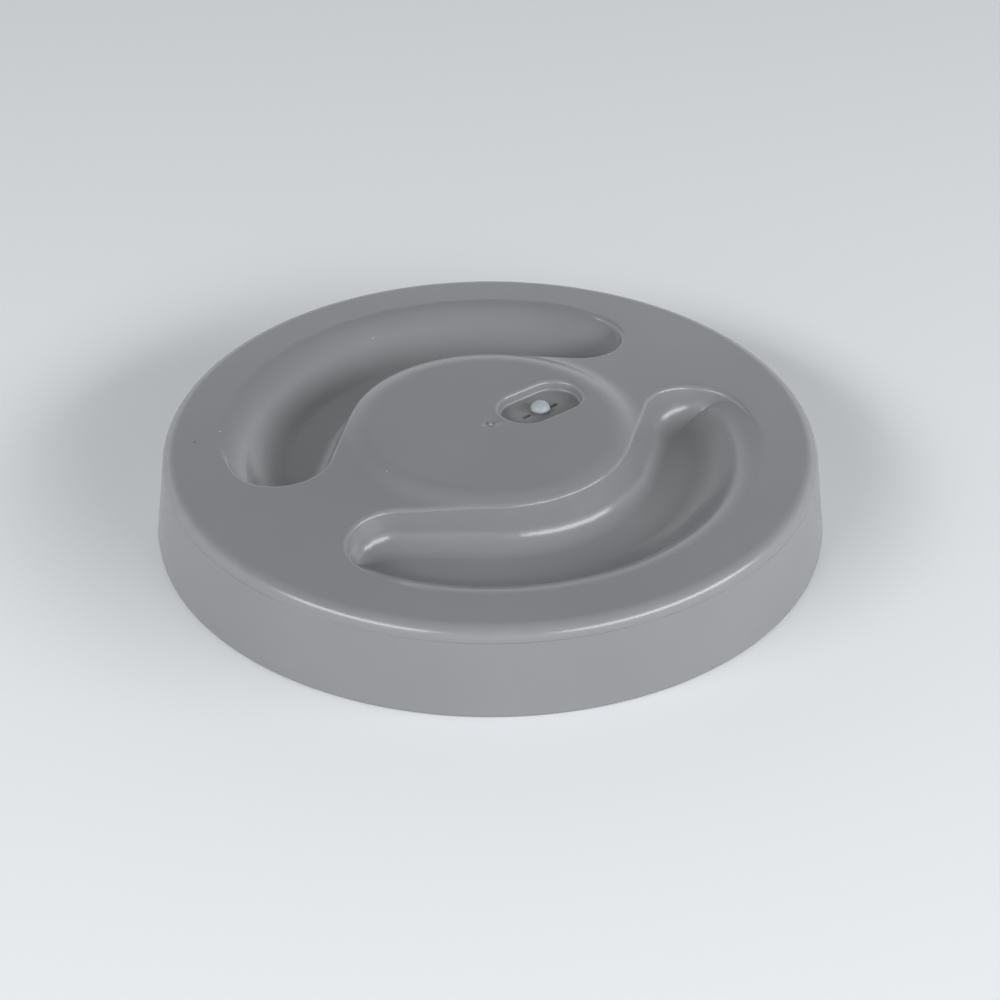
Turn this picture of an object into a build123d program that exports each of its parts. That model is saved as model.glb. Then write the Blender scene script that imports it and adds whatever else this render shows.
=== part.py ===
from build123d import *
import math
import os

# Screw-on filler lid for a liquid tank: a one-piece moulded lid with two finger
# recesses, a flat sealing ring inside its skirt and an umbrella air valve in a
# small pocket.  Millimetres.  +Z is up, the origin is on the lid's axis at the
# plane of its open mouth, and +X runs along the grip web towards the valve.

# ---- Driving sizes: outside of the lid ----------------------------------------
mouth_radius = 75.0          # outside of the skirt at its open end
skirt_top_radius = 72.8      # outside of the skirt where it meets the shoulder
rim_height = 21.2            # top surface, measured at the shoulder
shoulder_round = 3.3         # round between skirt and top
mouth_round = 0.7            # round on the skirt's lower outside edge
wall = 2.6                   # general moulded wall

crown_rise = 2.7             # how far the top climbs from shoulder to disc
disc_radius = 28.6           # raised centre disc, out to the top of its ramp
disc_ramp = 4.4              # plan width of the ramp between disc and crown
disc_step = 1.9              # height of the disc above the crown
parting_drop = 3.35          # from the rim height down to the mould's parting line
parting_depth = 0.12         # fine groove the parting line leaves in the skirt

# ---- Finger recesses ----------------------------------------------------------
recess_inner_radius = 32.3   # wall that wraps the disc
recess_tip_centre = 47.2     # distance of each tip's centre from the lid's axis
recess_tip_radius = 10.9     # round of each tip in plan
recess_half_span = 62.9      # angle from the recess's middle to a tip centre, degrees
recess_outer_reach = 64.1    # furthest radius of the outline, past the soft slope
recess_floor_height = 14.6   # lowest surface inside the recess
recess_wall_draft = 8.0      # lean of the steep wall, degrees
recess_foot_round = 5.5      # round between the steep wall and the floor
recess_trough_radius = 44.0  # where the floor starts to climb outwards
recess_slope_end = 61.2      # where the slope runs out into the top
slope_sink = 0.03            # lets the slope cross the flat floor at a definite line
recess_brow_round = 10.0     # soft round where the slope meets the top
recess_lip_round = 1.1       # small round where the steep wall breaks the top

# ---- Skirt inside, thread and gasket seat -------------------------------------
thread_root_radius = 70.2    # plain inside wall between the thread's turns
thread_height = 1.8          # how far the ridge stands in from that wall
thread_pitch = 5.0
thread_turns = 1.4
thread_root_width = 3.0
thread_crest_width = 1.4
thread_start_height = 7.4    # middle of the ridge where it begins
mouth_relief_radius = 71.8   # plain counterbore that finds the neck
mouth_relief_depth = 4.5
mouth_chamfer = 0.6

gasket_thickness = 2.4
gasket_width = 6.6
gasket_side_clearance = 0.4  # free space on each side of the ring in its seat
seat_ceiling = 2.9           # material above the seat, at the skirt
collar_thickness = 1.6       # rib that keeps the ring from creeping inwards
collar_overhang = 0.8        # how far the rib reaches below the ring

# ---- Air valve and its pocket -------------------------------------------------
pocket_centre = 14.3         # from the lid's axis, along +X
pocket_half_length = 10.2
pocket_half_width = 6.2
pocket_depth = 2.5
pocket_floor = 2.0           # thickness under the pocket
pocket_edge_round = 1.0
pocket_foot_round = 0.6
boss_wall = 2.2              # wall around the pocket, seen from below
slot_width = 1.1
slot_inner_end = 2.3         # from the stem's axis
slot_outer_end = 5.2

stem_radius = 1.35
stem_clearance = 0.1         # radial, in the hole through the pocket floor
bulb_radius = 2.25
bulb_edge = 0.2              # straight rim of the bulb
bulb_dome = 1.7              # dome above that rim
valve_travel = 0.5           # how far the valve drops when it lets air in
travel_spare = 0.05          # left under the bulb at full opening
flap_radius = 7.0
flap_lip = 0.8               # width of the sealing lip
flap_lip_thickness = 0.7
flap_hub_thickness = 1.6
flap_hub_radius = 2.6
flap_dish = 0.3              # hollow of the flap behind its lip
seal_gap = 0.02              # between the closed lip and its seat

# ---- Moulding gate on the axis ------------------------------------------------
gate_dimple_radius = 2.3
gate_dimple_depth = 0.6
gate_stub_radius = 0.55      # round nub left where the gate was snapped off

# ---- Sizes that follow from those above ---------------------------------------
shoulder_crown_radius = skirt_top_radius - shoulder_round
crown_foot_radius = disc_radius + disc_ramp
crown_foot_height = rim_height + crown_rise
disc_height = crown_foot_height + disc_step
crown_slope = crown_rise / (shoulder_crown_radius - crown_foot_radius)
seat_height = rim_height - seat_ceiling
gasket_outer_radius = thread_root_radius - gasket_side_clearance
gasket_inner_radius = gasket_outer_radius - gasket_width
collar_outer_radius = gasket_inner_radius - gasket_side_clearance
collar_inner_radius = collar_outer_radius - collar_thickness
collar_bottom = seat_height - gasket_thickness - collar_overhang
pocket_floor_height = disc_height - pocket_depth
valve_seat_height = pocket_floor_height - pocket_floor
parting_height = rim_height - parting_drop
above_lid = disc_height + 4.0   # top of the cutters, clear of the lid


def crown_height(radius):
    """Height of the sloping top at a radius between the disc and the shoulder."""
    return rim_height + crown_slope * (shoulder_crown_radius - radius)


def on_circle(centre, radius, degrees):
    """The point of a circle in plan at an angle from +X."""
    angle = math.radians(degrees)
    return (centre[0] + radius * math.cos(angle), centre[1] + radius * math.sin(angle))


def turned(profile_edges):
    """A closed outline in radius and height, revolved about the lid's axis."""
    outline = Plane.XZ * make_face(profile_edges)
    return revolve(outline, Axis.Z)


# ---- Body of revolution -------------------------------------------------------
def top_line(drop):
    """Points of the top from the axis to the crown's foot, lowered by a wall."""
    return [(0, disc_height - drop), (disc_radius, disc_height - drop),
            (crown_foot_radius, crown_foot_height - drop)]


def ramp_round():
    """Round at both ends of the disc's ramp, nearly as large as its length allows."""
    ramp_angle = math.atan2(disc_step, disc_ramp)
    turned_at_foot = ramp_angle - math.atan(crown_slope)
    tangents = math.tan(ramp_angle / 2) + math.tan(turned_at_foot / 2)
    return 0.95 * math.hypot(disc_step, disc_ramp) / tangents


def lid_envelope():
    """The lid's outside as a filled solid."""
    corners = top_line(0) + [(skirt_top_radius, crown_height(skirt_top_radius)),
                             (mouth_radius, 0), (0, 0)]
    rounds = [ramp_round(), ramp_round(), shoulder_round, mouth_round]
    edges = FilletPolyline(*corners, radius=rounds).edges()
    closing = Line(corners[-1], corners[0])
    return turned(edges + closing.edges())


def lid_hollow():
    """Everything that is empty under the top, the gasket seat included."""
    relief_top = mouth_relief_depth + mouth_relief_radius - thread_root_radius
    corners = top_line(wall) + [
        (collar_inner_radius, crown_height(collar_inner_radius) - wall),
        (collar_inner_radius, collar_bottom),
        (collar_outer_radius, collar_bottom),
        (collar_outer_radius, seat_height),
        (thread_root_radius, seat_height),
        (thread_root_radius, relief_top),
        (mouth_relief_radius, mouth_relief_depth),
        (mouth_relief_radius, mouth_chamfer),
        (mouth_relief_radius + mouth_chamfer, 0),
        (0, 0)]
    return turned(Polyline(*corners, close=True).edges())


def parting_groove():
    """The fine V that the mould's parting line leaves around the skirt."""
    flare = (mouth_radius - skirt_top_radius) / crown_height(skirt_top_radius)
    bottom_radius = mouth_radius - flare * parting_height - parting_depth
    reach = 4 * parting_depth
    return turned(Polyline((bottom_radius, parting_height),
                           (bottom_radius + reach, parting_height + reach),
                           (bottom_radius + reach, parting_height - reach),
                           close=True).edges())


# ---- Finger recess ------------------------------------------------------------
def recess_outline(grow):
    """Plan of the recess on the +Y side, every wall moved outwards by grow."""
    inner = recess_inner_radius - grow
    tip = recess_tip_radius + grow
    tip_angle = 90.0 - recess_half_span
    tip_x, tip_y = on_circle((0, 0), recess_tip_centre, tip_angle)

    # The inner wall leaves its arc on the line that touches both circles.
    crossing = (recess_inner_radius + recess_tip_radius) / recess_tip_centre
    leave_angle = tip_angle + math.degrees(math.acos(crossing))

    # The outer arc touches both tips and reaches its furthest in the middle.
    reach = recess_outer_reach - recess_tip_radius
    outer_y = (reach ** 2 - recess_tip_centre ** 2) / (2 * (reach - tip_y))
    outer = recess_outer_reach - outer_y + grow
    touch_angle = math.degrees(math.atan2(tip_y - outer_y, tip_x))

    inner_arc = CenterArc((0, 0), inner, leave_angle, 180 - 2 * leave_angle)
    outer_arc = CenterArc((0, outer_y), outer, touch_angle, 180 - 2 * touch_angle)
    tip_sweep = 180 + touch_angle - leave_angle
    right_tip = CenterArc((tip_x, tip_y), tip, leave_angle + 180, tip_sweep)
    left_tip = CenterArc((-tip_x, tip_y), tip, 180 - touch_angle, tip_sweep)
    right_line = Line(inner_arc @ 0, right_tip @ 0)
    left_line = Line(left_tip @ 1, inner_arc @ 1)
    curves = [inner_arc, left_line, left_tip, outer_arc, right_tip, right_line]
    return make_face([curve.edge() for curve in curves])


def recess_block(grow):
    """The recess with its steep wall all round and a flat floor."""
    lean = math.tan(math.radians(recess_wall_draft))
    bottom = recess_floor_height - grow
    flare = (above_lid - rim_height) * lean
    outline = Pos(0, 0, above_lid) * recess_outline(grow + flare)
    block = extrude(outline, amount=bottom - above_lid, taper=recess_wall_draft)
    foot = block.faces().sort_by(Axis.Z)[0].edges()
    return fillet(foot, recess_foot_round + grow)


def slope_line(grow):
    """Two tangent arcs that carry the floor up to the top: a hollow, then a brow."""
    start_height = recess_floor_height - slope_sink
    run = recess_slope_end - recess_trough_radius
    rise = crown_height(recess_slope_end) - start_height
    steepest = 2 * math.degrees(math.atan2(rise, run))
    hollow_round = run / math.sin(math.radians(steepest)) - recess_brow_round
    hollow_centre = (recess_trough_radius, start_height + hollow_round)
    brow_centre = (recess_slope_end, crown_height(recess_slope_end) - recess_brow_round)
    hollow = CenterArc(hollow_centre, hollow_round + grow, -90, steepest)
    brow = CenterArc(brow_centre, recess_brow_round - grow, 90 + steepest, -steepest)
    return hollow, brow


def recess_bowl(grow):
    """The recess above its slope; grown by a wall it is the outside of its bowl."""
    hollow, brow = slope_line(grow)
    rest = Polyline(brow @ 1, (mouth_radius, (brow @ 1).Y), (mouth_radius, above_lid),
                    (0, above_lid), (0, (hollow @ 0).Y), hollow @ 0)
    return recess_block(grow) & turned(hollow.edges() + brow.edges() + rest.edges())


def slope_fill():
    """Material under the slope, reaching past the lips so that it closes them."""
    hollow, brow = slope_line(0)
    rest = Polyline(brow @ 1, ((brow @ 1).X, 0), ((hollow @ 0).X, 0), hollow @ 0)
    under = turned(hollow.edges() + brow.edges() + rest.edges())
    return lid_envelope() & recess_block(2 * recess_lip_round) & under


def recess_lips(body):
    """Edges where the steep wall of either recess breaks the lid's top."""
    near = 0.05
    lean = math.tan(math.radians(recess_wall_draft))
    lips = []
    for edge in body.edges():
        lowest = min((edge @ place).Z for place in (0, 0.5, 1))
        middle = edge @ 0.5
        if lowest > rim_height:
            outline = recess_outline((middle.Z - rim_height) * lean).face().outer_wire()
            if outline.distance_to(Vertex(middle.X, abs(middle.Y), 0)) < near:
                lips.append(edge)
    return lips


def carved_lid():
    """The lid's outside as a filled solid with both recesses let into it."""
    envelope = lid_envelope()
    inside_slope_end = Cylinder(recess_slope_end, 4 * above_lid)
    body = envelope
    for turn in (0, 180):
        body -= Rot(0, 0, turn) * recess_block(0)
    body = fillet(recess_lips(body), recess_lip_round)
    for turn in (0, 180):
        body += Rot(0, 0, turn) * slope_fill()
    body = (body & inside_slope_end) + (envelope - inside_slope_end)
    return body - parting_groove()


# ---- Valve pocket -------------------------------------------------------------
def stadium(half_length, half_width, bottom, height):
    """An upright solid with round ends, long side on X, over the valve's axis."""
    plan = SlotOverall(2 * half_length, 2 * half_width)
    return Pos(pocket_centre, 0, bottom) * extrude(plan, amount=height)


def vent_slots():
    """The two slots through the pocket floor, one each side of the stem."""
    length = slot_outer_end - slot_inner_end
    middle = (slot_outer_end + slot_inner_end) / 2
    plan = SlotOverall(length, slot_width)
    through = pocket_floor + 2
    return [Pos(pocket_centre + side * middle, 0, valve_seat_height - 1)
            * extrude(plan, amount=through) for side in (-1, 1)]


# ---- Thread -------------------------------------------------------------------
def thread_ridge():
    """The helical ridge inside the skirt, rooted a little way into the wall."""
    rooted = 0.4
    centre = (0, 0, thread_start_height)
    path = Helix(thread_pitch, thread_pitch * thread_turns, thread_root_radius, centre)
    root = thread_root_width / 2
    crest = thread_crest_width / 2
    section = Polyline((rooted, -root), (rooted, root), (0, root), (-thread_height, crest),
                       (-thread_height, -crest), (0, -root), close=True)
    plane = Plane(origin=path @ 0, x_dir=(1, 0, 0), z_dir=path % 0)
    return sweep(plane * make_face(section.edges()), path=path, is_frenet=True)


# ---- Pieces -------------------------------------------------------------------
def lid_shell():
    walls = Cylinder(2 * mouth_radius, 4 * above_lid) - lid_hollow()
    for turn in (0, 180):
        walls += Rot(0, 0, turn) * recess_bowl(wall)
    shell = carved_lid() & walls

    boss_height = disc_height - wall / 2 - valve_seat_height
    shell += stadium(pocket_half_length + boss_wall, pocket_half_width + boss_wall,
                     valve_seat_height, boss_height)
    pocket = stadium(pocket_half_length, pocket_half_width, pocket_floor_height,
                     above_lid - pocket_floor_height)
    shell -= fillet(pocket.faces().sort_by(Axis.Z)[0].edges(), pocket_foot_round)
    pocket_rim = [edge for edge in shell.edges().group_by(Axis.Z)[-1]
                  if abs(edge.center().X - pocket_centre) <= pocket_half_length
                  and abs(edge.center().Y) <= pocket_half_width]
    shell = fillet(pocket_rim, pocket_edge_round)
    hole_radius = stem_radius + stem_clearance
    shell -= Pos(pocket_centre, 0, valve_seat_height) * Cylinder(hole_radius, 4 * pocket_floor)
    for slot in vent_slots():
        shell -= slot

    # The gate's dimple is the cap of a ball, with the snapped stub left in it.
    ball = (gate_dimple_radius ** 2 + gate_dimple_depth ** 2) / (2 * gate_dimple_depth)
    shell -= Pos(0, 0, disc_height - gate_dimple_depth + ball) * Sphere(ball)
    shell += Pos(0, 0, disc_height - gate_dimple_depth) * Sphere(gate_stub_radius)

    shell += thread_ridge()
    return shell


def neck_gasket():
    """Flat ring that the tank's neck presses against its seat."""
    ring = Circle(gasket_outer_radius) - Circle(gasket_inner_radius)
    return Pos(0, 0, seat_height - gasket_thickness) * extrude(ring, amount=gasket_thickness)


def vent_valve():
    """Umbrella valve: bulb above the pocket floor, stem, and flap beneath it."""
    bulb_under = pocket_floor_height + valve_travel + travel_spare
    bulb_rim = bulb_under + bulb_edge
    lip_top = valve_seat_height - seal_gap
    lip_inner = flap_radius - flap_lip
    ball = (bulb_radius ** 2 + bulb_dome ** 2) / (2 * bulb_dome)
    spread = math.degrees(math.asin(bulb_radius / ball))
    dome = CenterArc((0, bulb_rim + bulb_dome - ball), ball, 90 - spread, spread)
    body = Polyline(dome @ 1, (0, lip_top - flap_dish - flap_hub_thickness),
                    (flap_hub_radius, lip_top - flap_dish - flap_hub_thickness),
                    (flap_radius, lip_top - flap_lip_thickness),
                    (flap_radius, lip_top), (lip_inner, lip_top),
                    (lip_inner - flap_dish, lip_top - flap_dish),
                    (stem_radius, lip_top - flap_dish), (stem_radius, bulb_under),
                    (bulb_radius, bulb_under), dome @ 0)
    return Pos(pocket_centre, 0, 0) * turned(dome.edges() + body.edges())


def main():
    os.makedirs("parts", exist_ok=True)
    pieces = {"lid_shell": lid_shell(), "neck_gasket": neck_gasket(),
              "vent_valve": vent_valve()}
    for name, piece in pieces.items():
        export_step(piece, f"parts/{name}.step")
        print(f"{name}: {piece.volume / 1000:.2f} cm3, {len(piece.solids())} solid")


main()
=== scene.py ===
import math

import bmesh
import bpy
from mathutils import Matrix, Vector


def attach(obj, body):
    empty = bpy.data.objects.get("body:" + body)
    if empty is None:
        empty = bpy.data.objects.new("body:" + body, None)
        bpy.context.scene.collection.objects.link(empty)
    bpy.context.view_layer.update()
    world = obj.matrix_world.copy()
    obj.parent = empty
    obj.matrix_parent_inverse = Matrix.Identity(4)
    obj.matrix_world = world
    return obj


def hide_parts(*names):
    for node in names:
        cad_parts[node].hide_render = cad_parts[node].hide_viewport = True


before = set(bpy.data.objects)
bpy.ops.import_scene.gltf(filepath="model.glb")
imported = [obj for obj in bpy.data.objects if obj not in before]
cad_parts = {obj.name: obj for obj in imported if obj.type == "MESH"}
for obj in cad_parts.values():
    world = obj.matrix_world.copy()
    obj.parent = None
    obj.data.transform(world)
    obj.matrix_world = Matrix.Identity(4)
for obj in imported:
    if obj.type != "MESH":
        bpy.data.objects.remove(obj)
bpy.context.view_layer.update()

# %% [markdown]
# The object is the screw-on filler lid of a liquid tank: one grey plastic moulding with two
# finger recesses, a small silicone air valve in a pocket, and a rubber sealing ring inside.
# The frame already holds each piece at its true size in metres.

MM = 0.001

# %% [markdown]
# A small product is usually shot from a little way off with a long lens, which keeps the round
# rim from looking stretched. We turn two angles into a direction and put the camera along it.
# The two shift values slide the frame without turning the camera.

# %% Camera
AZIMUTH = math.radians(-38.5)
ELEVATION = math.radians(33.81)
DISTANCE = 0.7926


def direction(around, up):
    """Unit vector from the lid towards a point round it and above it."""
    return Vector((math.sin(around) * math.cos(up), -math.cos(around) * math.cos(up), math.sin(up)))


def place(name, data, point):
    """Link a camera or a light at a point, turned to face the lid."""
    made = bpy.data.objects.new(name, data)
    bpy.context.scene.collection.objects.link(made)
    made.location = point
    made.rotation_euler = (-point).to_track_quat("-Z", "Y").to_euler()
    return made


lens = bpy.data.cameras.new("camera")
lens.lens = 126.0
lens.sensor_width = 36.0
lens.shift_x = 0.0096
lens.shift_y = 0.0186
camera = place("camera", lens, direction(AZIMUTH, ELEVATION) * DISTANCE)
bpy.context.scene.camera = camera
bpy.context.scene.view_settings.view_transform = "Standard"
print("camera at", [round(value, 3) for value in camera.location])

# %% [markdown]
# Satin plastic shows its form through soft, wide highlights. Two long strip lamps hang in front,
# one on each side, so each draws its own streak along the shoulder and leaves a quiet gap
# between them. The rest is a light tent: a world that is bright near the horizon and dim
# overhead. Light that comes in low fills the skirt more than the top, and the walls of the
# recesses keep part of it off their floors, so the hollows read as hollows.

# %% Strip lamps and world


def softbox(name, turn, up, distance, width, height, watts):
    """A rectangular lamp, placed by its turn from the camera's side and its height."""
    lamp = bpy.data.lights.new(name, "AREA")
    lamp.shape = "RECTANGLE"
    lamp.size = width
    lamp.size_y = height
    lamp.energy = watts
    around = AZIMUTH + math.radians(turn)
    return place(name, lamp, direction(around, math.radians(up)) * distance)


softbox("strip_right", 58, 25, 1.2, 1.5, 0.28, 12.5)
softbox("strip_left", -46, 33, 1.2, 1.0, 0.28, 8.5)

HORIZON, ZENITH = 1.17, 0.08          # strength of the world, low down and overhead
world = bpy.data.worlds.new("studio")
bpy.context.scene.world = world
world.use_nodes = True
background = world.node_tree.nodes["Background"]
background.inputs["Color"].default_value = (0.95, 0.97, 1.0, 1)
sky_nodes, sky_links = world.node_tree.nodes, world.node_tree.links
sky_direction = sky_nodes.new("ShaderNodeSeparateXYZ")
fade = sky_nodes.new("ShaderNodeMapRange")
fade.interpolation_type = "SMOOTHSTEP"
fade.inputs["From Min"].default_value = 0.15
fade.inputs["From Max"].default_value = 0.75
fade.inputs["To Min"].default_value = HORIZON
fade.inputs["To Max"].default_value = ZENITH
sky_links.new(sky_nodes.new("ShaderNodeTexCoord").outputs["Generated"],
              sky_direction.inputs["Vector"])
sky_links.new(sky_direction.outputs["Z"], fade.inputs["Value"])
sky_links.new(fade.outputs["Result"], background.inputs["Strength"])
print("lamps:", [item.name for item in bpy.data.lights])

# %% [markdown]
# The lid stands on a plain pale table. A single large square is enough, because the camera
# only sees a little of it. It belongs to the stage and not to the object.

# %% Table top


def new_object(name, mesh_data):
    """Turn a finished bmesh into an object at the origin."""
    mesh = bpy.data.meshes.new(name)
    mesh_data.to_mesh(mesh)
    mesh_data.free()
    made = bpy.data.objects.new(name, mesh)
    bpy.context.scene.collection.objects.link(made)
    return made


def new_material(name):
    """A node material, with its nodes, links and main shader."""
    material = bpy.data.materials.new(name)
    material.use_nodes = True
    tree = material.node_tree
    return material, tree.nodes, tree.links, tree.nodes["Principled BSDF"]


table_mesh = bmesh.new()
bmesh.ops.create_grid(table_mesh, x_segments=1, y_segments=1, size=3.0)
table = new_object("table_top", table_mesh)
table_paint, nodes, links, shader = new_material("table_paint")
shader.inputs["Base Color"].default_value = (0.80, 0.82, 0.84, 1)
shader.inputs["Roughness"].default_value = 0.85
table.data.materials.append(table_paint)
print("table top", table.dimensions[:2])

# %% [markdown]
# The lid is moulded in mid-grey polypropylene. Its surface is satin, not mirror smooth: the
# mould's skin leaves a very fine grain, the melt leaves faint cloudy patches, and handling
# leaves a few scuffs and light specks. We build each of these from a noise pattern that reads
# Object coordinates, so it stays fixed to the lid, and lets it touch colour, roughness or bump.

# %% Grey plastic
LID_GREY = (0.213, 0.217, 0.226, 1)
LID_GREY_WORN = (0.250, 0.252, 0.258, 1)
lid_grey, nodes, links, shader = new_material("grey_polypropylene")
place_on_lid = nodes.new("ShaderNodeTexCoord").outputs["Object"]


def noise(scale, detail=2.0, stretch=(1, 1, 1)):
    """A noise pattern of the object's own place, finer as scale grows."""
    mapping = nodes.new("ShaderNodeMapping")
    mapping.inputs["Scale"].default_value = stretch
    links.new(place_on_lid, mapping.inputs["Vector"])
    pattern = nodes.new("ShaderNodeTexNoise")
    pattern.inputs["Scale"].default_value = scale
    pattern.inputs["Detail"].default_value = detail
    links.new(mapping.outputs["Vector"], pattern.inputs["Vector"])
    return pattern.outputs["Fac"]


def levels(value, low, high, bottom=0.0, top=1.0):
    """Stretch the part of a pattern between low and high over bottom to top."""
    node = nodes.new("ShaderNodeMapRange")
    node.inputs["From Min"].default_value = low
    node.inputs["From Max"].default_value = high
    node.inputs["To Min"].default_value = bottom
    node.inputs["To Max"].default_value = top
    links.new(value, node.inputs["Value"])
    return node.outputs["Result"]


def math_node(operation, first, second):
    """One sum of two values, each a socket or a plain number."""
    node = nodes.new("ShaderNodeMath")
    node.operation = operation
    for socket, value in zip(node.inputs, (first, second)):
        if isinstance(value, (int, float)):
            socket.default_value = value
        else:
            links.new(value, socket)
    return node.outputs["Value"]


def blend_colours(amount, first, second):
    """Mix two colours by a pattern."""
    node = nodes.new("ShaderNodeMix")
    node.data_type = "RGBA"
    links.new(amount, node.inputs["Factor"])
    for socket, value in zip((node.inputs[6], node.inputs[7]), (first, second)):
        if isinstance(value, tuple):
            socket.default_value = value
        else:
            links.new(value, socket)
    return node.outputs[2]


clouds = levels(noise(28.0, 3.0), 0.35, 0.7)
flow_lines = levels(noise(60.0, 3.0, (1, 1, 4)), 0.45, 0.75)
print("plastic nodes so far:", len(nodes))

# %% [markdown]
# Specks of dust moulded in and small white nicks are sparse and tiny. A Voronoi pattern gives
# one point to each cell; keeping only the very centre of some cells leaves scattered dots.
# Scuffs are long thin noise, cut off so high that only a few short strokes are left.

# %% Specks and scuffs


def dots(scale, size, share):
    """Small dots in a share of the cells of a Voronoi pattern."""
    cells = nodes.new("ShaderNodeTexVoronoi")
    cells.inputs["Scale"].default_value = scale
    links.new(place_on_lid, cells.inputs["Vector"])
    near = levels(cells.outputs["Distance"], size, size * 0.45)
    split = nodes.new("ShaderNodeSeparateColor")
    links.new(cells.outputs["Color"], split.inputs["Color"])
    chosen = math_node("LESS_THAN", split.outputs["Red"], share)
    return math_node("MULTIPLY", near, chosen)


light_specks = dots(130.0, 0.05, 0.14)
dark_specks = dots(95.0, 0.055, 0.08)
scuffs = math_node("MULTIPLY", levels(noise(700.0, 1.0, (1, 0.12, 1)), 0.69, 0.75),
                   levels(noise(30.0, 1.0), 0.64, 0.72))
print("plastic nodes with specks:", len(nodes))

# %% [markdown]
# Rubbing lightens the shoulder, which hands and bench tops meet. The Geometry node's Pointiness
# could find it, but that value depends on the mesh and leaves odd marks where the facets
# change. The shoulder is a plain band of radius and height, so we mask that and break it up
# with noise.

# %% Rubbed shoulder, colour, roughness and bump
position = nodes.new("ShaderNodeSeparateXYZ")
links.new(place_on_lid, position.inputs["Vector"])
across, along, up = position.outputs["X"], position.outputs["Y"], position.outputs["Z"]
squared = math_node("ADD", math_node("MULTIPLY", across, across),
                    math_node("MULTIPLY", along, along))
band = math_node("MULTIPLY", levels(math_node("POWER", squared, 0.5), 70.0 * MM, 72.3 * MM),
                 levels(up, 18.3 * MM, 20.0 * MM))
rubbed = math_node("MULTIPLY", band, levels(noise(160.0, 4.0), 0.42, 0.68))
colour = blend_colours(math_node("MULTIPLY", clouds, 0.35), LID_GREY, LID_GREY_WORN)
MARKS = [(rubbed, 0.14, (0.33, 0.33, 0.335, 1)), (scuffs, 0.10, (0.36, 0.36, 0.36, 1)),
         (light_specks, 0.55, (0.62, 0.62, 0.60, 1)), (dark_specks, 0.50, (0.08, 0.08, 0.085, 1))]
for mask, strength, tint in MARKS:
    colour = blend_colours(math_node("MULTIPLY", mask, strength), colour, tint)
links.new(colour, shader.inputs["Base Color"])

gloss = math_node("ADD", levels(flow_lines, 0, 1, 0.21, 0.25), math_node("MULTIPLY", scuffs, 0.08))
links.new(gloss, shader.inputs["Roughness"])
shader.inputs["IOR"].default_value = 1.49

grain = math_node("MULTIPLY", noise(2600.0, 2.0), 0.35)
ripple = math_node("MULTIPLY", noise(45.0, 1.0), 0.5)
relief = math_node("ADD", grain, ripple)
relief = math_node("SUBTRACT", relief, math_node("MULTIPLY", scuffs, 0.2))
bump = nodes.new("ShaderNodeBump")
bump.inputs["Strength"].default_value = 0.35
bump.inputs["Distance"].default_value = 0.00006
links.new(relief, bump.inputs["Height"])
links.new(bump.outputs["Normal"], shader.inputs["Normal"])
print("grey plastic nodes:", len(nodes))

# %% [markdown]
# The lid itself is already in the frame as a mesh of loose triangles. Modelling the same
# recesses a second time by hand could only drift from the true sizes, so we take a copy, merge
# its points, and let it shade smoothly. Edges sharper than a set angle stay crisp, and a
# Weighted Normal modifier keeps the flat areas flat beside the small rounds.

# %% Lid moulding


def merged_copy(node_name):
    """A bmesh of a frame node with its doubled points joined."""
    copy = bmesh.new()
    copy.from_mesh(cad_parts[node_name].data)
    bmesh.ops.remove_doubles(copy, verts=copy.verts, dist=0.002 * MM)
    return copy


def shade(mesh_data, sharp_degrees):
    """Smooth faces, with a crease wherever two faces meet at a steeper angle."""
    for face in mesh_data.faces:
        face.smooth = True
    for edge in mesh_data.edges:
        if len(edge.link_faces) == 2:
            edge.smooth = edge.calc_face_angle(0) < math.radians(sharp_degrees)


def weighted(made):
    """Let large faces decide the shading beside small rounds."""
    modifier = made.modifiers.new("weighted_normal", "WEIGHTED_NORMAL")
    modifier.keep_sharp = True
    modifier.weight = 100


def finish_piece(made, material, node, body):
    """Give a finished piece its material, the node it replaces and its body."""
    made.data.materials.append(material)
    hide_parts(node)
    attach(made, body)
    print(made.name, "faces:", len(made.data.polygons))


def describe(mesh_data):
    """Print a mesh's volume, and how many edges don't join two matching faces."""
    bad = sum(1 for edge in mesh_data.edges if not edge.is_contiguous)
    print("volume in cm3:", round(mesh_data.calc_volume(signed=True) * 1e6, 2), "bad edges:", bad)


lid_mesh = merged_copy("lid_shell")
describe(lid_mesh)

# %% [markdown]
# The copy's triangles are uneven round the skirt: some span so wide an angle that they cut
# across the small round at the mouth, and the outline shows teeth. The outside is round, so it
# can be spun afresh. We walk from one skirt face to its neighbours to find the outer skin, keep
# the section that its points lie on, remove it, and spin the section in small steps. Its two
# ends then have more points than the circles left open, so triangles fill the rings between.

# %% A smooth outer skin
SKIN_STEPS = 288
CREASE = 28                           # degrees; steeper edges of the moulding stay crisp
SKIN_TOP_RADIUS = 69.9 * MM           # just inside the circle where the crown begins
FACES_INWARDS = -0.3                  # outward part of the normal of a face inside the bore
MID_HEIGHT = 10 * MM                  # between the mouth's rim and the crown's


def from_axis(point):
    """Distance of a point from the lid's axis."""
    return math.hypot(point.x, point.y)


def on_skin(face):
    """True for a face outside the crown's circle that doesn't look inwards."""
    middle = face.calc_center_median()
    outwards = (face.normal.x * middle.x + face.normal.y * middle.y) / from_axis(middle)
    return outwards > FACES_INWARDS and all(from_axis(vertex.co) > SKIN_TOP_RADIUS
                                            for vertex in face.verts)


def connected_skin(start):
    """Every skin face that can be reached from a first one across shared edges."""
    found, waiting = {start}, [start]
    while waiting:
        for edge in waiting.pop().edges:
            for face in edge.link_faces:
                if face not in found and on_skin(face):
                    found.add(face)
                    waiting.append(face)
    return found


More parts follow.
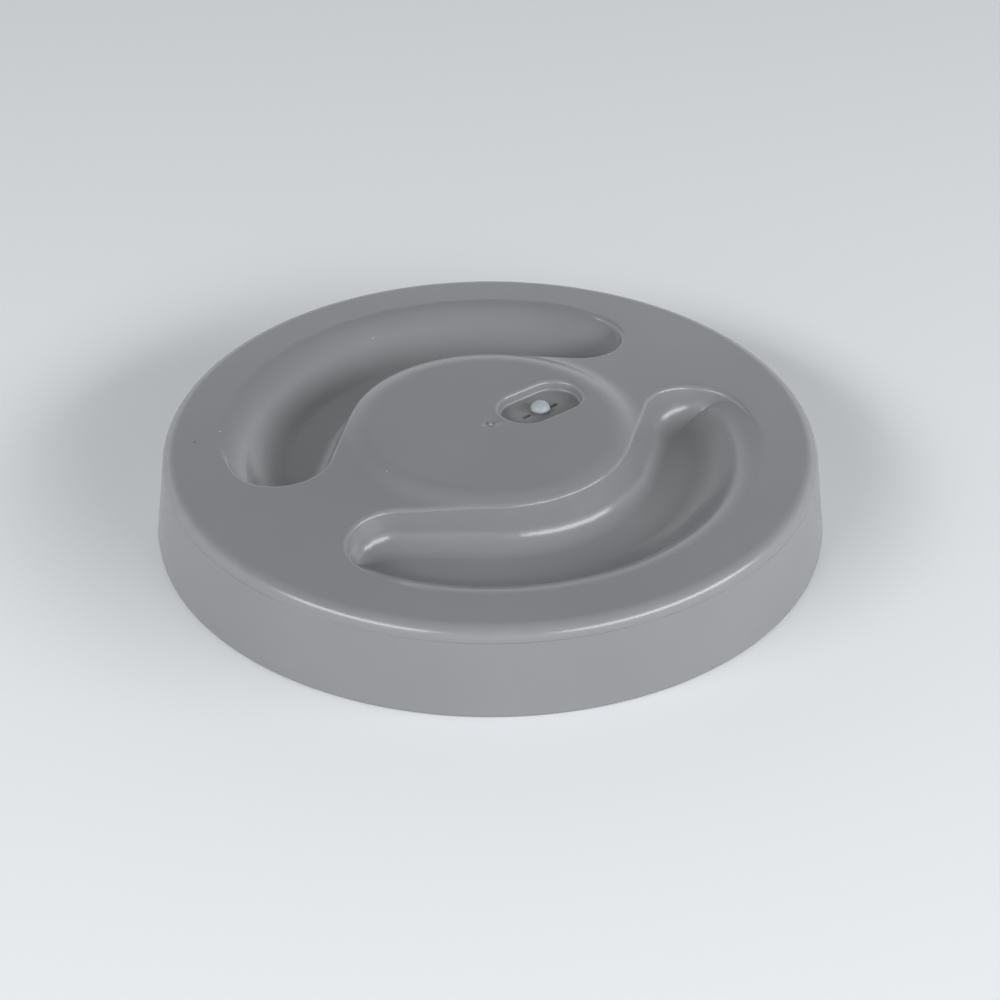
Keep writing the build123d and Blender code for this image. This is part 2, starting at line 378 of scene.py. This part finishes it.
widest = max(lid_mesh.faces, key=lambda face: from_axis(face.calc_center_median()))
skin = connected_skin(widest)
kept_points = {vertex for face in lid_mesh.faces if face not in skin for vertex in face.verts}
rows = {round(vertex.co.z / MM, 3): from_axis(vertex.co)
        for vertex in lid_mesh.verts if vertex not in kept_points}
bmesh.ops.delete(lid_mesh, geom=list(skin), context="FACES")
rims = [edge for edge in lid_mesh.edges if len(edge.link_faces) == 1]
print("skin rows:", len(rows), "open rim edges:", len(rims))

# %% Spin the section and close both rings
old_faces = set(lid_mesh.faces)
section_points = [lid_mesh.verts.new((rows[row], 0, row * MM)) for row in sorted(rows)]
section_edges = [lid_mesh.edges.new(pair) for pair in zip(section_points, section_points[1:])]
bmesh.ops.spin(lid_mesh, geom=section_points + section_edges, cent=(0, 0, 0), axis=(0, 0, 1),
               angle=2 * math.pi, steps=SKIN_STEPS, use_merge=True)
new_rims = [edge for edge in lid_mesh.edges
            if len(edge.link_faces) == 1 and edge.link_faces[0] not in old_faces]
for is_top in (False, True):
    ring = [edge for edge in rims + new_rims if (edge.verts[0].co.z > MID_HEIGHT) == is_top]
    bmesh.ops.triangle_fill(lid_mesh, use_beauty=True, edges=ring, normal=(0, 0, 1))
bmesh.ops.recalc_face_normals(lid_mesh, faces=lid_mesh.faces)
describe(lid_mesh)
shade(lid_mesh, CREASE)
lid = new_object("lid_moulding", lid_mesh)
weighted(lid)
finish_piece(lid, lid_grey, "lid_shell", "lid")

# %% [markdown]
# The sealing ring is a flat rubber washer in a seat under the top. A flat ring has four long
# corners, and a cut rubber part never has them knife sharp. We draw its section as a small
# rectangle, spin that about the lid's axis, and then bevel the four corner circles together.

# %% Sealing ring


def node_box(node_name):
    """Lowest and highest corner of a frame node."""
    points = [vertex.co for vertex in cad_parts[node_name].data.vertices]
    low = Vector([min(point[axis] for point in points) for axis in range(3)])
    high = Vector([max(point[axis] for point in points) for axis in range(3)])
    return low, high


ring_low, ring_high = node_box("neck_gasket")
ring_outer = min(ring_high.x, -ring_low.x) - 0.03 * MM
ring_inner = min(from_axis(vertex.co)
                 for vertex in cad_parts["neck_gasket"].data.vertices) + 0.05 * MM
section_corners = [(ring_inner, ring_low.z), (ring_outer, ring_low.z),
                   (ring_outer, ring_high.z), (ring_inner, ring_high.z)]
seal_mesh = bmesh.new()
section = [seal_mesh.verts.new((radius, 0, height)) for radius, height in section_corners]
for first, second in zip(section, section[1:] + section[:1]):
    seal_mesh.edges.new((first, second))
bmesh.ops.spin(seal_mesh, geom=seal_mesh.verts[:] + seal_mesh.edges[:], cent=(0, 0, 0),
               axis=(0, 0, 1), angle=2 * math.pi, steps=160, use_merge=True)
bmesh.ops.remove_doubles(seal_mesh, verts=seal_mesh.verts, dist=0.001 * MM)
bmesh.ops.recalc_face_normals(seal_mesh, faces=seal_mesh.faces)
corner_circles = [edge for edge in seal_mesh.edges
                  if len(edge.link_faces) == 2 and edge.calc_face_angle(0) > math.radians(60)]
bmesh.ops.bevel(seal_mesh, geom=corner_circles, offset=0.3 * MM, affect="EDGES", segments=3,
                profile=0.5, material=-1)
shade(seal_mesh, 40)
seal = new_object("sealing_ring", seal_mesh)
weighted(seal)

# %% [markdown]
# Cut rubber is nearly black and dull, with fine pits and a dusty bloom on it. A dark colour
# with high roughness does most of it; a little noise makes the bloom and the pits.

# %% Black rubber
seal_rubber, nodes, links, shader = new_material("black_rubber")
place_on_lid = nodes.new("ShaderNodeTexCoord").outputs["Object"]
bloom = levels(noise(90.0, 3.0), 0.4, 0.75)
links.new(blend_colours(bloom, (0.016, 0.016, 0.017, 1), (0.042, 0.041, 0.040, 1)),
          shader.inputs["Base Color"])
links.new(levels(bloom, 0, 1, 0.55, 0.75), shader.inputs["Roughness"])
bump = nodes.new("ShaderNodeBump")
bump.inputs["Strength"].default_value = 0.3
bump.inputs["Distance"].default_value = 0.00005
links.new(noise(1500.0, 2.0), bump.inputs["Height"])
links.new(bump.outputs["Normal"], shader.inputs["Normal"])
finish_piece(seal, seal_rubber, "neck_gasket", "lid")

# %% [markdown]
# The air valve is an umbrella valve: a domed bulb above the pocket floor, a stem through it
# and a thin flap that seals from below. It is round, so one half-section spun about its own
# axis makes the whole piece. The dome's line is itself a spin: one point at the top, swung
# about the dome's centre. The rest of the section is a few points down the stem and the flap.

# %% Air valve
valve_low, valve_high = node_box("vent_valve")
valve_axis = Vector(((valve_low.x + valve_high.x) / 2, (valve_low.y + valve_high.y) / 2, 0))
FIT = 0.02 * MM                       # how far the piece stays inside its frame node
BULB_RADIUS = 2.25 * MM - FIT
DOME = 1.7 * MM
dome_ball = (BULB_RADIUS ** 2 + DOME ** 2) / (2 * DOME)
dome_top = valve_high.z - FIT
dome_centre = Vector((valve_axis.x, valve_axis.y, dome_top - dome_ball))

valve_mesh = bmesh.new()
top_point = valve_mesh.verts.new((valve_axis.x, valve_axis.y, dome_top))
swung = bmesh.ops.spin(valve_mesh, geom=[top_point], cent=dome_centre, axis=(0, 1, 0),
                       angle=math.asin(BULB_RADIUS / dome_ball), steps=9)
last_point = [item for item in swung["geom_last"] if isinstance(item, bmesh.types.BMVert)][0]
print("dome ends", [round(value / MM, 2) for value in last_point.co])

# %% [markdown]
# From the rim of the dome the section turns in under the bulb, runs down the stem, and out
# again along the flap, whose lip is a little higher than the dish inside it.

# %% Stem and flap
STEM, HUB, DISH_RIM, LIP, FLAP = 1.35, 2.6, 5.9, 6.2, 7.0      # radii in mm
under_bulb = valve_high.z - 1.9 * MM
flap_top = valve_low.z + 1.9 * MM - FIT
dish = flap_top - 0.3 * MM
flap_edge = flap_top - 0.7 * MM
bottom = valve_low.z + FIT
stem_and_flap = [(2.25, under_bulb), (STEM, under_bulb), (STEM, dish), (DISH_RIM, dish),
                 (LIP, flap_top), (FLAP, flap_top), (FLAP, flap_edge), (HUB, bottom),
                 (0.0, bottom)]
for radius, height in stem_and_flap:
    out = max(radius * MM - FIT, 0.0)
    point = valve_mesh.verts.new((valve_axis.x + out, valve_axis.y, height))
    valve_mesh.edges.new((last_point, point))
    last_point = point
bmesh.ops.spin(valve_mesh, geom=valve_mesh.verts[:] + valve_mesh.edges[:], cent=valve_axis,
               axis=(0, 0, 1), angle=2 * math.pi, steps=72, use_merge=True)
bmesh.ops.remove_doubles(valve_mesh, verts=valve_mesh.verts, dist=0.001 * MM)
bmesh.ops.recalc_face_normals(valve_mesh, faces=valve_mesh.faces)
bulb_rim = [edge for edge in valve_mesh.edges
            if len(edge.link_faces) == 2 and edge.calc_face_angle(0) > math.radians(50)
            and edge.verts[0].co.z > under_bulb - 0.05 * MM
            and (edge.verts[0].co - valve_axis).xy.length > 2.0 * MM]
bmesh.ops.bevel(valve_mesh, geom=bulb_rim, offset=0.08 * MM, affect="EDGES", segments=2,
                profile=0.5, material=-1)
shade(valve_mesh, 35)
valve = new_object("umbrella_valve", valve_mesh)
print("open edges:", sum(1 for edge in valve.data.edges if edge.is_loose))

# %% [markdown]
# Clear silicone a few millimetres thick is milky: light goes in, scatters and comes out again,
# so it glows softly where plastic would be flat. Subsurface scattering on the main shader does
# this. The bloom of dust that silicone always attracts is a weak noise in its colour.

# %% Milky silicone
silicone, nodes, links, shader = new_material("milky_silicone")
place_on_lid = nodes.new("ShaderNodeTexCoord").outputs["Object"]
dust = levels(noise(420.0, 3.0), 0.4, 0.8)
links.new(blend_colours(dust, (0.32, 0.37, 0.39, 1), (0.38, 0.41, 0.42, 1)),
          shader.inputs["Base Color"])
shader.inputs["Subsurface Weight"].default_value = 0.5
shader.inputs["Subsurface Radius"].default_value = (1.0, 1.0, 1.1)
shader.inputs["Subsurface Scale"].default_value = 0.0012
shader.inputs["IOR"].default_value = 1.41
links.new(levels(dust, 0, 1, 0.38, 0.5), shader.inputs["Roughness"])
bump = nodes.new("ShaderNodeBump")
bump.inputs["Strength"].default_value = 0.2
bump.inputs["Distance"].default_value = 0.00004
links.new(noise(1200.0, 2.0), bump.inputs["Height"])
links.new(bump.outputs["Normal"], shader.inputs["Normal"])
finish_piece(valve, silicone, "vent_valve", "vent_valve")
